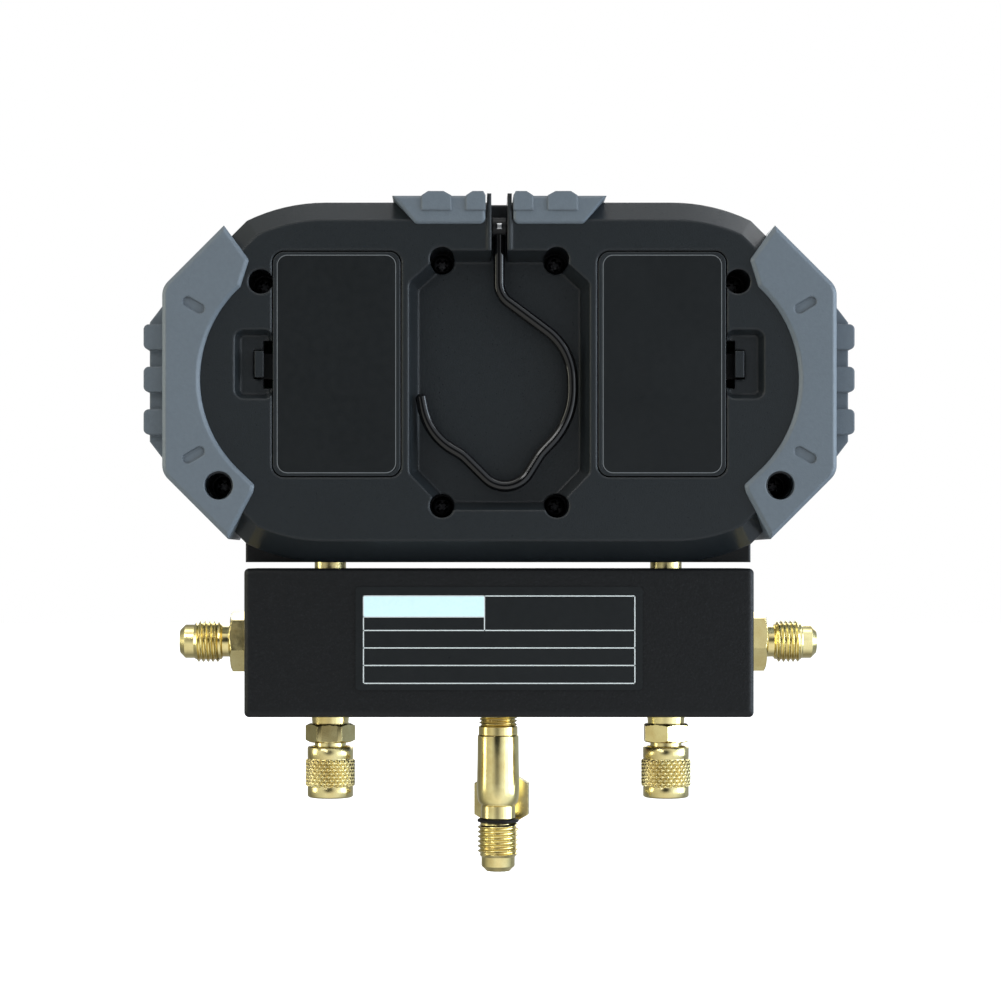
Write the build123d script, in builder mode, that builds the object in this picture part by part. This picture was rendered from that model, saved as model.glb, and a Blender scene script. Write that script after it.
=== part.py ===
from build123d import *
import os
from math import atan, cos, degrees, radians, sin, sqrt, tan

# Digital refrigerant manifold gauge, hung on its own hook, in millimetres.
# Frame: +Z up, -Y the back (hook and battery covers), +Y the front (dials and valve knobs),
# +X the low-pressure side. The origin is on the service port's axis, at the free end of
# its thread.

# ---- Driving sizes: pipework ----
flare_d = 11.11            # 7/16-20 UNF thread of a 1/4 inch flare port
flare_pitch_d = 10.29      # pitch diameter, where a capped port's hidden thread meets its cap
nose_d = 9.0               # flare nose behind its 45 degree cone
nose_tip_d = 6.2
nose_len = 3.8
relief_d = 9.2             # relief between hex and thread
port_bore_d = 3.6
pipe_d = 10.2              # 1/8 pipe thread that enters the block
pipe_len = 9.0
pipe_taper = 0.25
hex_chamfer = 0.6

# ---- Driving sizes: small edges, corners and gaps shared by several pieces ----
hair = 0.1                 # a form cut a little past the face or rim it opens
edge_break = 0.3           # turned edges
press_edge = 0.15          # slight lead of a fitting's collar
window_round = 2.0         # corners of the window, the lens and the battery
pocket_round = 2.5         # corners of the pockets around them

# ---- Driving sizes: manifold block ----
block_w = 133.4
block_h = 39.0
block_d = 32.0
block_edge = 1.3
block_z0 = 38.0            # underside of the block above the service port's thread end
gauge_x = 44.8             # gauges, valves and bottom ports left and right of the middle
passage_d = 3.6
label_w = 75.0
label_h = 27.0
label_round = 1.0
label_t = 0.4
label_drop = 1.2           # middle of the label above the middle of the block

# ---- Driving sizes: side ports, service fitting, bottom ports ----
side_hex_af = 14.3
side_hex_t = 4.5
side_relief_len = 2.5
side_thread_len = 7.3
side_hex_turn = {"low": 47.0, "high": 13.0}

service_thread_len = 9.2
service_neck_len = 4.2
seal_wire_d = 0.9
seal_gap = 0.05
tee_d = 11.4
tee_round = 1.8
nipple_d = 10.6
nipple_len = 5.5           # visible part of the nipple under the block
nipple_collar_len = 2.2
tee_turn = -6.0            # where the tee came to a stop on its taper thread
branch_z = 14.6
branch_boss_len = 9.0
branch_boss_d = 8.6
branch_hex_af = 14.6
branch_hex_t = 5.0
branch_thread_len = 8.0
branch_relief_len = 2.0

bottom_neck_len = 2.4
bottom_hex_af = 11.5
bottom_hex_t = 5.0
bottom_hex_turn = {"low": 0.0, "high": 30.0}
bottom_relief_d = 8.4
bottom_relief_len = 1.7
bottom_thread_len = 7.1
cap_gap = 1.1              # bare relief between hex and cap
cap_len = 13.7
cap_d = 12.0
knurl_d = 13.2
knurl_start = 3.1
knurl_len = 7.8
cap_floor = 1.3
cap_fit = 0.06
cap_seal_t = 1.2
cap_seal_play = 0.3

# ---- Driving sizes: valves and sight glass ----
bonnet_d = 14.0
bonnet_in = 8.0
bonnet_hex_af = 19.0
bonnet_hex_t = 5.0
bonnet_collar_d = 12.0
bonnet_edge = 0.6
bonnet_collar_len = 4.0
chamber_d = 9.0
chamber_depth = 21.0       # from the block's front face to the valve seat
piston_fit = 0.07
piston_len = 7.4
piston_nose_len = 2.0
piston_tip_d = 4.4
valve_lift = 2.0
spindle_d = 6.0
spindle_fit = 0.06
spindle_thread_d = 4.0
spindle_flange_d = 8.2
spindle_flange_t = 1.2
knob_d = 32.0
knob_t = 17.0
knob_lobe_round = 1.5
knob_front_edge = 1.4
knob_back_edge = 0.8
knob_lobes = 6
knob_flute_r = 8.0
knob_flute_bite = 3.2
knob_gap = 1.6             # knob clear of the bonnet collar
knob_dish_d = 17.0
knob_dish_slope = 1.2
knob_dish = 2.4
sight_d = 20.0
sight_thread_d = 16.0
sight_in = 6.0
sight_proud = 1.8
sight_glass_d = 13.0
sight_glass_t = 4.0

# ---- Driving sizes: housing ----
housing_gap = 1.6          # housing clear of the block
housing_r = 47.2
housing_run = 45.4         # middle of each rounded end from the middle
rear_depth = 22.0
front_depth = 21.0
bevel_w = 5.6
bevel_depth = 9.0
wall = 2.0
foot_w = 134.8
foot_depth = 16.0
foot_h = 7.0

bumper_side_x = 87.4       # flat outer side of a side bumper
bumper_corner_z = 24.1
bumper_wall = 2.1
bumper_proud = 1.2
bumper_front = 18.0
bumper_inner_r = 29.8
bumper_corner_round = 5.0
bumper_horn_x = (60.0, 66.0)   # the two inner horns lie between these
bumper_horn_round = 1.2
bumper_edge = 1.0
bumper_inner_x = 47.8
pad_x = 91.5
pad_half = 15.6
pad_slope = 6.0
pad_root = 6.0
pad_back = 14.0
pad_front = 10.0
lug_x = 92.9
lug_h = 6.6
lug_round = 1.4
lug_pitch = 11.1
lug_z = 0.6
lug_over = 2.2             # lug longer than the pad at each end
pill_len = 6.2
pill_w = 2.6
pill_depth = 0.8
pill_at = (79.2, 19.4)
pill_tilt = 30.0

top_inner_x = 3.6
top_outer_x = 27.8
top_foot_x = 21.8
top_low_z = 40.5
top_proud = 0.6
top_round = 1.6
top_edge = 0.6
top_over = 0.7              # top bumper proud of the rear face
top_lug_over = 1.2
top_lug_h = 1.1
top_lug_low_z = 44.0
top_lugs = ((3.6, 4.2, 7.0, 8.7), (12.5, 14.5, 18.5, 20.2))

recess_half_w = 23.5
recess_half_h = 33.7
recess_corner_x = 14.2
recess_corner_z = (25.3, 24.0)   # above and below the middle
recess_round = 2.2
recess_depth = 8.0
recess_draft = 16.0

hook_d = 3.0
hook_sink = 4.0            # wire's middle below the rear face
hook_pivot_z = 40.1
hook_slot_w = 4.2
cheek_w = 6.4
cheek_top = 48.4
cheek_proud = 0.3
pivot_block_w = 9.2
barrel_d = 5.0
barrel_play = 0.3
trunnion_d = 2.4
trunnion_len = 2.0
trunnion_fit = 0.06
trunnion_play = 0.2
retainer_w = 1.5
retainer_proud = 0.5
notch_depth = 0.8
# Bends of the hook's wire, from its pivot barrel to its tip: (x, height, bend radius)
hook_bends = (
    (0.0, 22.4, 6.0),
    (18.9, 8.3, 16.0),
    (19.3, -10.0, 20.0),
    (10.8, -18.9, 9.0),
    (2.9, -31.6, 7.1),
    (-9.4, -19.4, 9.0),
    (-18.5, -14.0, 16.0),
)
hook_tip = (-20.5, -3.4)

screw_d = 3.0
screw_head_d = 5.5
screw_head_t = 2.2
screw_len = 12.0
well_r = 3.2
well_rubber_gap = 0.5       # the rubber's hole round a well
well_wall = 1.6
well_shelf = 2.5
well_end = 2.0             # shelf's face behind the parting plane
screw_clear = 0.4
screw_sites = ((14.9, 31.4), (14.9, -32.5), (61.9, 25.6), (72.7, -27.3))
boss_d = 6.2

cover_w = 33.0
cover_h = 58.1
cover_x = 42.2
cover_z = 4.2
cover_t = 2.0
cover_r = 2.9
cover_gap = 0.35
cover_panel_edge = 1.0
cover_panel_depth = 0.25
bay_lip = 1.75
bay_wall = 1.4
bay_floor_back = 1.8
bay_rib = 4.5
latch_w = 6.8
latch_z = 4.2
latch_t = 1.2
latch_reach = 4.8
latch_drop = 8.2
latch_tab = 2.3
latch_tab_t = 1.5
latch_play = 0.4
latch_under = 1.0          # room under the latch
pocket_w = 10.2
pocket_h = 18.1
pocket_depth = 3.0
pocket_draft = 25.0
slot_w = 2.3
slot_over = 0.2
slot_h = 12.4

battery_w = 26.5
battery_t = 17.5
battery_h = 46.4
stud_h = 2.1
stud_d = 6.0
stud_pitch = 12.7
contact_t = 4.25
contact_inset = 5.5
contact_round = 3.0

dial_r = 36.0
dial_t = 1.2
bezel_r = 39.0
bezel_inner_r = 34.8
bezel_proud = 2.6
bezel_edge = 1.2
bezel_lip = 1.6
bezel_slope = 0.6          # funnel of the bezel's inside, radius per height
window_w = 43.0
window_h = 25.0
window_z = 6.0
lens_border = 1.5
lens_t = 1.5
lens_play = 0.3
lcd_w = 45.0
lcd_h = 30.0
board_w = 54.0
board_hole_x = 1.5
board_hole_z = 1.8
board_z0 = -23.0
board_z1 = 21.0
board_t = 1.6
board_front = 10.6
post_d = 4.4
post_pin_d = 2.0
post_pin_over = 0.8
button_d = 8.0
button_flange = 1.2
button_flange_t = 1.0
button_proud = 1.2
button_travel = 0.8
button_play = 0.4
button_z = -18.0
button_pitch = 14.0
switch_w = 6.0
switch_round = 0.6
switch_body = 4.3
plunger_d = 3.4

stem_d = 8.4
stem_bore_d = 2.6
stem_in = 10.0
stem_hex_af = 13.0
stem_hex_t = 4.0
stem_hex_gap = 0.8
sensor_d = 15.0
sensor_edge = 0.8
sensor_len = 8.0
sensor_head_d = 10.0
sensor_head_len = 3.0

# ---- Places that follow from the sizes ----
port_z = block_z0 + block_h / 2
block_top = block_z0 + block_h
block_front = block_d / 2
housing_bottom = block_top + housing_gap
housing_z = housing_bottom + housing_r
bevel_angle = degrees(atan(bevel_w / bevel_depth))
dial_back = front_depth - dial_t
wall_inside = front_depth - wall
recess_floor = rear_depth - recess_depth
hook_back = rear_depth - hook_sink
sides = {"low": 1, "high": -1}


def back_plane(y=0.0, x=0.0, z=housing_z):
    """Sketching plane seen from behind: +X to the right, +Z up, its normal towards -Y."""
    return Plane(origin=(x, y, z), x_dir=(1, 0, 0), z_dir=(0, -1, 0))


def axis_plane(origin, direction):
    """Plane across a turned part's axis, its normal along the axis."""
    return Plane(origin=origin, z_dir=direction)


def turned(plane, profile, mode=Mode.ADD):
    """Turn a half profile, given as (distance along the plane's normal, radius)."""
    section = Plane(origin=plane.origin, x_dir=plane.z_dir, z_dir=plane.x_dir)
    with BuildSketch(section) as half:
        with BuildLine():
            Polyline((profile[0][0], 0), *profile, (profile[-1][0], 0), close=True)
        make_face()
    revolve(half.sketch, axis=Axis(plane.origin, plane.z_dir), mode=mode)


def axis_cone(plane, start, thickness, face_r, middle_r):
    """Round blank that is narrower at both faces, kept apart from the part in hand."""
    slope = middle_r - face_r
    profile = (
        (start, 0),
        (start, face_r),
        (start + slope / 2, middle_r),
        (start + thickness - slope / 2, middle_r),
        (start + thickness, face_r),
        (start + thickness, 0),
    )
    section = Plane(origin=plane.origin, x_dir=plane.z_dir, z_dir=plane.x_dir)
    with BuildSketch(section, mode=Mode.PRIVATE) as half:
        with BuildLine():
            Polyline(*profile, close=True)
        make_face()
    return revolve(half.sketch, axis=Axis(plane.origin, plane.z_dir), mode=Mode.PRIVATE)


def drilled(plane, diameter, start, end):
    """Drill a round passage from one distance to another along the plane's normal."""
    with BuildSketch(plane.offset(start)) as mouth:
        Circle(diameter / 2)
    extrude(mouth.sketch, amount=end - start, mode=Mode.SUBTRACT)


def hexagon(plane, start, thickness, across_flats, turn=0.0):
    """Hexagon across the axis, its corners turned away by a cone at both faces."""
    corner_r = across_flats / sqrt(3)
    face_r = corner_r - hex_chamfer
    with BuildSketch(plane.offset(start)) as flats:
        RegularPolygon(across_flats / 2, 6, major_radius=False, rotation=turn)
    cone = axis_cone(plane, start, thickness, face_r, corner_r + 0.01)
    add(extrude(flats.sketch, amount=thickness, mode=Mode.PRIVATE) & cone)


def flare_end(plane, start, relief_len, thread_len):
    """Relief, thread at its major diameter and coned nose of a flare port."""
    thread_at = start + relief_len
    nose_at = thread_at + thread_len
    cone = (nose_d - nose_tip_d) / 2
    turned(
        plane,
        (
            (start, relief_d / 2),
            (thread_at, relief_d / 2),
            (thread_at, flare_d / 2),
            (nose_at, flare_d / 2),
            (nose_at, nose_d / 2),
            (nose_at + nose_len - cone, nose_d / 2),
            (nose_at + nose_len, nose_tip_d / 2),
        ),
    )


def housing_outline(inset=0.0):
    """Stadium outline with its ends squared off under the side bumpers."""
    SlotCenterToCenter(2 * housing_run, 2 * (housing_r - inset))
    side = bumper_side_x - bumper_wall - inset
    slant = bumper_side_x + bumper_corner_z - sqrt(2) * (bumper_wall + inset)
    top = housing_r + 1.0
    corners = [(side, slant - side), (slant - top, top)]
    outline = corners + [(-x, z) for x, z in reversed(corners)]
    outline += [(-x, -z) for x, z in corners] + [(x, -z) for x, z in reversed(corners)]
    Polygon(*outline, mode=Mode.INTERSECT)


def housing_form(facing, depth, inset=0.0, mode=Mode.ADD):
    """Half of the housing from the parting plane to its face, with the bevelled edge."""
    slope = radians(bevel_angle)
    straight = depth - bevel_depth - inset * (1 / cos(slope) - 1) / tan(slope)
    plane = Plane(origin=(0, 0, housing_z), x_dir=(1, 0, 0), z_dir=(0, facing, 0))
    with BuildSketch(plane) as base:
        housing_outline(inset)
    extrude(base.sketch, amount=straight, mode=mode)
    with BuildSketch(plane.offset(straight)) as shoulder:
        housing_outline(inset)
    extrude(shoulder.sketch, amount=depth - inset - straight, taper=bevel_angle, mode=mode)


def save(name, part):
    part.label = name
    export_step(part, f"parts/{name}.step")


os.makedirs("parts", exist_ok=True)

# ---- Housing form shared by the shells and the rubber on them ----
with BuildPart() as housing_core:
    housing_form(-1, rear_depth)
    housing_form(1, front_depth)

# ---- Rear shell ----
bay_w = cover_w + 2 * cover_gap - 2 * bay_lip
bay_h = cover_h + 2 * cover_gap - 2 * bay_lip
cover_back = rear_depth - cover_t
pocket_x = cover_x + cover_w / 2 + cover_gap + pocket_w / 2 - 0.5
slot_x0 = cover_x + cover_w / 2 + cover_gap
cover_outer = cover_x + cover_w / 2
shelf_back = well_end + well_shelf
sites = [(sign * x, z) for sign in (1, -1) for x, z in screw_sites]


def recess_outline(grow=0.0):
    """Octagon of the hook recess."""
    half_w = recess_half_w + grow
    half_h = recess_half_h + grow
    shift = grow * tan(radians(22.5))
    cut_x = recess_corner_x + shift
    upper, lower = (z + shift for z in recess_corner_z)
    Polygon(
        (half_w, upper),
        (cut_x, half_h),
        (-cut_x, half_h),
        (-half_w, upper),
        (-half_w, -lower),
        (-cut_x, -half_h),
        (cut_x, -half_h),
        (half_w, -lower),
    )


with BuildPart() as rear_shell:
    housing_form(-1, rear_depth)
    housing_form(-1, rear_depth, inset=wall, mode=Mode.SUBTRACT)
    # tub behind the recess, bay boxes, pocket backs, screw wells and the hook's pivot block
    with BuildSketch(back_plane(-recess_floor + wall)):
        recess_outline(wall)
    extrude(amount=recess_depth)
    with BuildSketch(back_plane(0)):
        for sign in (1, -1):
            with Locations((sign * cover_x, cover_z)):
                Rectangle(bay_w + 2 * bay_wall, bay_h + 2 * bay_wall)
    extrude(amount=cover_back)
    with BuildSketch(back_plane(-(rear_depth - pocket_depth - wall))):
        for sign in (1, -1):
            with Locations((sign * pocket_x, latch_z)):
                Rectangle(pocket_w + 2 * wall, pocket_h + 2 * wall)
    extrude(amount=pocket_depth)
    with BuildSketch(back_plane(-well_end)):
        with Locations(*sites):
            Circle(well_r + well_wall)
    extrude(amount=rear_depth - wall - well_end)
    with BuildSketch(back_plane(-(recess_floor - wall))):
        with Locations((0, (recess_half_h + housing_r - 2) / 2)):
            Rectangle(pivot_block_w, housing_r - 2 - recess_half_h)
    extrude(amount=recess_depth)
    add(housing_core.part, mode=Mode.INTERSECT)
    with BuildSketch(back_plane(-recess_floor)):
        with Locations((0, (recess_half_h + cheek_top) / 2)):
            Rectangle(cheek_w, cheek_top - recess_half_h)
    extrude(amount=recess_depth + cheek_proud)
    # recess with sloped walls
    with BuildSketch(back_plane(-rear_depth)) as octagon:
        recess_outline()
        fillet(octagon.vertices(), recess_round)
    extrude(amount=-recess_depth, taper=recess_draft, mode=Mode.SUBTRACT)
    # hook slot, its trunnion bores and the notch over the top
    slot_top = cheek_top + 2
    with BuildSketch(back_plane(-recess_floor)):
        with Locations((0, (recess_half_h - 3 + slot_top) / 2)):
            Rectangle(hook_slot_w, slot_top - recess_half_h + 3)
    extrude(amount=recess_depth + 2, mode=Mode.SUBTRACT)
    with BuildSketch(Plane.YZ.offset(-hook_slot_w / 2 - trunnion_len)):
        with Locations((-hook_back, housing_z + hook_pivot_z)):
            Circle(trunnion_d / 2 + trunnion_fit)
    extrude(amount=hook_slot_w + 2 * trunnion_len, mode=Mode.SUBTRACT)
    with BuildSketch(back_plane(0)):
        with Locations((0, housing_r)):
            Rectangle(hook_slot_w, 2 * notch_depth)
    extrude(amount=rear_depth, mode=Mode.SUBTRACT)
    # battery bays: cover seat, bay and the rib under the battery
    with BuildSketch(back_plane(-cover_back)):
        for sign in (1, -1):
            with Locations((sign * cover_x, cover_z)):
                RectangleRounded(
                    cover_w + 2 * cover_gap, cover_h + 2 * cover_gap, cover_r + cover_gap
                )
    extrude(amount=cover_t, mode=Mode.SUBTRACT)
    with BuildSketch(back_plane(-bay_floor_back)):
        for sign in (1, -1):
            with Locations((sign * cover_x, cover_z + bay_rib / 2)):
                Rectangle(bay_w, bay_h - bay_rib)
    extrude(amount=cover_back - bay_floor_back, mode=Mode.SUBTRACT)
    # latch pockets with their slots
    with BuildSketch(back_plane(-rear_depth)):
        for sign in (1, -1):
            with Locations((sign * pocket_x, latch_z)):
                RectangleRounded(pocket_w, pocket_h, pocket_round)
    extrude(amount=-pocket_depth, taper=pocket_draft, mode=Mode.SUBTRACT)
    with BuildSketch(back_plane(-(cover_back - latch_drop - latch_under))):
        for sign in (1, -1):
            with Locations((sign * (slot_x0 + slot_w / 2 - slot_over), latch_z)):
                Rectangle(slot_w + 2 * slot_over, slot_h)
            tab_x0 = cover_outer - latch_t - latch_play
            tab_x1 = cover_outer + latch_reach + latch_play
            with Locations((sign * (tab_x0 + tab_x1) / 2, latch_z)):
                Rectangle(tab_x1 - tab_x0, latch_w + 2 * latch_play)
    extrude(amount=latch_drop + latch_under + 2 * cover_t, mode=Mode.SUBTRACT)
    # screw wells
    with BuildSketch(back_plane(-shelf_back)):
        with Locations(*sites):
            Circle(well_r)
    extrude(amount=rear_depth + 2, mode=Mode.SUBTRACT)
    with BuildSketch(back_plane(0)):
        with Locations(*sites):
            Circle(screw_d / 2 + screw_clear / 2)
    extrude(amount=rear_depth, mode=Mode.SUBTRACT)
    # clamp holes for the two gauge stems
    with BuildSketch(Plane.XY.offset(housing_bottom - 2)):
        with Locations((gauge_x, 0), (-gauge_x, 0)):
            Circle(stem_d / 2 + hair)
    extrude(amount=wall + 4, mode=Mode.SUBTRACT)

save("rear_shell", rear_shell.part)

# ---- Front shell ----
button_sites = [
    (sign * gauge_x + step * button_pitch, button_z) for sign in (1, -1) for step in (-1, 0, 1)
]
dial_sites = [(gauge_x, 0), (-gauge_x, 0)]
window_sites = [(gauge_x, window_z), (-gauge_x, window_z)]
board_mid_z = (board_z0 + board_z1) / 2
post_sites = [
    (sign * gauge_x + step * (board_w / 2 - board_hole_x), z)
    for sign in (1, -1)
    for step in (1, -1)
    for z in (board_z0 + board_hole_z, board_z1 - board_hole_z)
]
lens_w = window_w + 2 * lens_border
lens_h = window_h + 2 * lens_border
pilot_depth = screw_len - well_shelf + 1.0

with BuildPart() as foot:
    with BuildSketch(Plane.XY.offset(housing_bottom)):
        with Locations((0, foot_depth / 2)):
            Rectangle(foot_w, foot_depth)
    extrude(amount=foot_h)
    housing_form(1, front_depth, inset=wall, mode=Mode.SUBTRACT)

with BuildPart() as front_shell:
    housing_form(1, front_depth)
    housing_form(1, front_depth, inset=wall, mode=Mode.SUBTRACT)
    # screw bosses and the boards' posts with their pins
    with BuildSketch(back_plane(wall_inside)):
        with Locations(*sites):
            Circle(boss_d / 2)
    extrude(amount=wall_inside + well_end)
    with BuildSketch(back_plane(wall_inside)):
        with Locations(*post_sites):
            Circle(post_d / 2)
    extrude(amount=wall_inside - board_front)
    with BuildSketch(back_plane(board_front)):
        with Locations(*post_sites):
            Circle(post_pin_d / 2)
    extrude(amount=board_t + post_pin_over)
    add(housing_core.part, mode=Mode.INTERSECT)
    add(foot.part)
    # dial seats, windows, button holes
    with BuildSketch(back_plane(dial_back)):
        with Locations(*dial_sites):
            Circle(dial_r)
    extrude(amount=-dial_t, mode=Mode.SUBTRACT)
    with BuildSketch(back_plane(wall_inside)):
        with Locations(*window_sites):
            RectangleRounded(lens_w + 2 * lens_play, lens_h + 2 * lens_play, pocket_round)
        with Locations(*button_sites):
            Circle(button_d / 2 + button_play)
    extrude(amount=-wall, mode=Mode.SUBTRACT)
    # pilot holes, stem clamp holes and the notch over the top
    with BuildSketch(back_plane(-well_end)):
        with Locations(*sites):
            Circle(screw_d / 2)
    extrude(amount=-pilot_depth, mode=Mode.SUBTRACT)
    with BuildSketch(Plane.XY.offset(housing_bottom - 2)):
        with Locations((gauge_x, 0), (-gauge_x, 0)):
            Circle(stem_d / 2 + hair)
    extrude(amount=wall + 4, mode=Mode.SUBTRACT)
    with BuildSketch(back_plane(0)):
        with Locations((0, housing_r)):
            Rectangle(hook_slot_w, 2 * notch_depth)
    extrude(amount=-front_depth, mode=Mode.SUBTRACT)

save("front_shell", front_shell.part)

# ---- Rubber bumpers: moulded on the housing, so the housing form is cut out of them ----
inner_top = (64.9, 31.2)
outer_top = (71.4, 40.1)
outer_low = (70.3, -41.2)
inner_low = (63.9, -29.2)
wave_low = (63.4, -27.2)
arc_low = (68.0, -22.8)
arc_top = (67.1, 24.2)

with BuildPart() as side_bumper:
    with BuildSketch(back_plane(bumper_front)) as bumper_sketch:
        with BuildLine():
            Polyline(
                arc_top,
                inner_top,
                outer_top,
                (bumper_side_x, bumper_corner_z),
                (bumper_side_x, -bumper_corner_z),
                outer_low,
                inner_low,
                wave_low,
                arc_low,
            )
            ThreePointArc(arc_low, (bumper_inner_x + bumper_inner_r, 0), arc_top)
        make_face()
        fillet(bumper_sketch.vertices().sort_by(Axis.X)[-2:], bumper_corner_round)
        fillet(
            bumper_sketch.vertices().filter_by_position(Axis.X, *bumper_horn_x),
            bumper_horn_round,
        )
    extrude(amount=bumper_front + rear_depth + bumper_proud)
    chamfer(side_bumper.faces().sort_by(Axis.Y)[0].edges(), bumper_edge)
    chamfer(side_bumper.faces().sort_by(Axis.Y)[-1].edges(), bumper_edge)
    # pad on the side with its three lugs
    with BuildSketch(back_plane(pad_front)):
        Polygon(
            (bumper_side_x - pad_root, pad_half + pad_slope),
            (bumper_side_x - 0.5, pad_half + pad_slope),
            (pad_x, pad_half),
            (pad_x, -pad_half),
            (bumper_side_x - 0.5, -pad_half - pad_slope),
            (bumper_side_x - pad_root, -pad_half - pad_slope),
        )
    extrude(amount=pad_front + pad_back)
    with BuildSketch(back_plane(pad_front + lug_over)) as lugs:
        for row in (-1, 0, 1):
            with Locations(((bumper_side_x + lug_x) / 2 - 2, lug_z + row * lug_pitch)):
                Rectangle(lug_x - bumper_side_x + 4, lug_h)
        fillet(lugs.vertices().group_by(Axis.X)[-1], lug_round)
    extrude(amount=pad_front + pad_back + 2 * lug_over)
    # screw wells pass through, pills are sunk in the face
    with BuildSketch(back_plane(-shelf_back)):
        with Locations(*screw_sites):
            Circle(well_r + well_rubber_gap)
    extrude(amount=rear_depth, mode=Mode.SUBTRACT)
    with BuildSketch(back_plane(-(rear_depth + bumper_proud - pill_depth))):
        with Locations(pill_at):
            SlotOverall(pill_len, pill_w, rotation=pill_tilt)
        with Locations((pill_at[0], -pill_at[1])):
            SlotOverall(pill_len, pill_w, rotation=-pill_tilt)
    extrude(amount=pill_depth + 1, mode=Mode.SUBTRACT)
    add(housing_core.part, mode=Mode.SUBTRACT)

with BuildPart() as top_bumper:
    top_z = housing_r + top_proud
    with BuildSketch(back_plane(bumper_front)) as top_sketch:
        Polygon(
            (top_inner_x, top_low_z),
            (top_foot_x, top_low_z),
            (top_outer_x, top_z),
            (top_inner_x, top_z),
        )
        fillet(top_sketch.vertices().group_by(Axis.Y)[0], top_round)
    extrude(amount=bumper_front + rear_depth + top_over)
    chamfer(top_bumper.faces().sort_by(Axis.Y)[0].edges(), top_edge)
    for root0, flat0, flat1, root1 in top_lugs:
        with BuildSketch(back_plane(bumper_front)):
            Polygon(
                (root0, top_lug_low_z),
                (root1, top_lug_low_z),
                (root1, top_z),
                (flat1, top_z + top_lug_h),
                (flat0, top_z + top_lug_h),
                (root0, top_z),
            )
        extrude(amount=bumper_front + rear_depth + top_lug_over)
    add(housing_core.part, mode=Mode.SUBTRACT)

for name, sign in sides.items():
    for kind, rubber in (("side", side_bumper), ("top", top_bumper)):
        with BuildPart() as bumper:
            add(rubber.part)
            if sign < 0:
                mirror(rubber.part, about=Plane.YZ)
                add(rubber.part, mode=Mode.SUBTRACT)
        save(f"{name}_{kind}_bumper", bumper.part)

# ---- Hook: barrel on two trunnions, bent wire and the bright pin that locks them ----
pivot_z = housing_z + hook_pivot_z
barrel_w = hook_slot_w - 2 * barrel_play
wire_top = (0.0, hook_pivot_z + 1.2)

with BuildPart() as hook_wire:
    with BuildLine(back_plane(-hook_back)) as hook_path:
        FilletPolyline(
            wire_top,
            *[(x, z) for x, z, _ in hook_bends],
            hook_tip,
            radius=[bend for _, _, bend in hook_bends],
        )
    with BuildSketch(Plane(hook_path.line @ 0, z_dir=hook_path.line % 0)):
        Circle(hook_d / 2)
    sweep()
    chamfer(hook_wire.faces().sort_by_distance(hook_path.line @ 1)[0].edges(), 0.7)

with BuildPart() as hook_barrel:
    with BuildSketch(Plane.YZ.offset(-barrel_w / 2)):
        with Locations((-hook_back, pivot_z)):
            Circle(barrel_d / 2)
    extrude(amount=barrel_w)
    with BuildSketch(Plane.YZ.offset(-hook_slot_w / 2 - trunnion_len + trunnion_play)):
        with Locations((-hook_back, pivot_z)):
            Circle(trunnion_d / 2)
    extrude(amount=hook_slot_w + 2 * (trunnion_len - trunnion_play))
    with BuildSketch(Plane.XY.offset(pivot_z - barrel_d)):
        with Locations((0, -hook_back)):
            Circle(hook_d / 2)
    extrude(amount=barrel_d + wire_top[1] - hook_pivot_z, mode=Mode.SUBTRACT)
    with BuildSketch(back_plane(-hook_back - hook_d / 2, z=pivot_z)):
        Rectangle(retainer_w, retainer_w)
    extrude(amount=barrel_d, mode=Mode.SUBTRACT)

with BuildPart() as hook_pin:
    with BuildSketch(back_plane(-hook_back - hook_d / 2, z=pivot_z)):
        Rectangle(retainer_w, retainer_w)
    extrude(amount=(barrel_d - hook_d) / 2 + retainer_proud)
    chamfer(hook_pin.faces().sort_by(Axis.Y)[0].edges(), edge_break)

save("hook_wire", hook_wire.part)
save("hook_barrel", hook_barrel.part)
save("hook_pin", hook_pin.part)

# ---- Housing screws ----
with BuildPart() as housing_screws:
    with BuildSketch(back_plane(-shelf_back)):
        with Locations(*sites):
            Circle(screw_head_d / 2)
    extrude(amount=screw_head_t)
    with BuildSketch(back_plane(-shelf_back)):
        with Locations(*sites):
            Circle(screw_d / 2)
    extrude(amount=-screw_len)
save("housing_screws", housing_screws.part)

# ---- Battery covers with their snap latches ----
with BuildPart() as cover:
    with BuildSketch(back_plane(-cover_back)):
        with Locations((cover_x, cover_z)):
            RectangleRounded(cover_w, cover_h, cover_r)
    extrude(amount=cover_t)
    with BuildSketch(back_plane(-rear_depth + cover_panel_depth)):
        with Locations((cover_x, cover_z)):
            RectangleRounded(
                cover_w - 2 * cover_panel_edge,
                cover_h - 2 * cover_panel_edge,
                cover_r - cover_panel_edge,
            )
    extrude(amount=cover_panel_depth, mode=Mode.SUBTRACT)
    # bent latch: down beside the bay, across under the pocket and up to the finger tab
    latch_end = cover_outer + latch_reach
    latch_bottom = cover_back - latch_drop
    with BuildSketch(Plane.XY.offset(housing_z + latch_z - latch_w / 2)):
        Polygon(
            (cover_outer - latch_t, -cover_back),
            (cover_outer - latch_t, -latch_bottom),
            (latch_end, -latch_bottom),
            (latch_end, -cover_back - latch_tab_t),
            (latch_end - latch_tab, -cover_back - latch_tab_t),
            (latch_end - latch_tab, -cover_back),
            (latch_end - latch_t, -cover_back + 1),
            (latch_end - latch_t, -latch_bottom - latch_t),
            (cover_outer, -latch_bottom - latch_t),
            (cover_outer, -cover_back),
        )
    extrude(amount=latch_w)

for name, sign in sides.items():
    with BuildPart() as battery_cover:
        add(cover.part)
        if sign < 0:
            mirror(cover.part, about=Plane.YZ)
            add(cover.part, mode=Mode.SUBTRACT)
    save(f"{name}_battery_cover", battery_cover.part)

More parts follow.
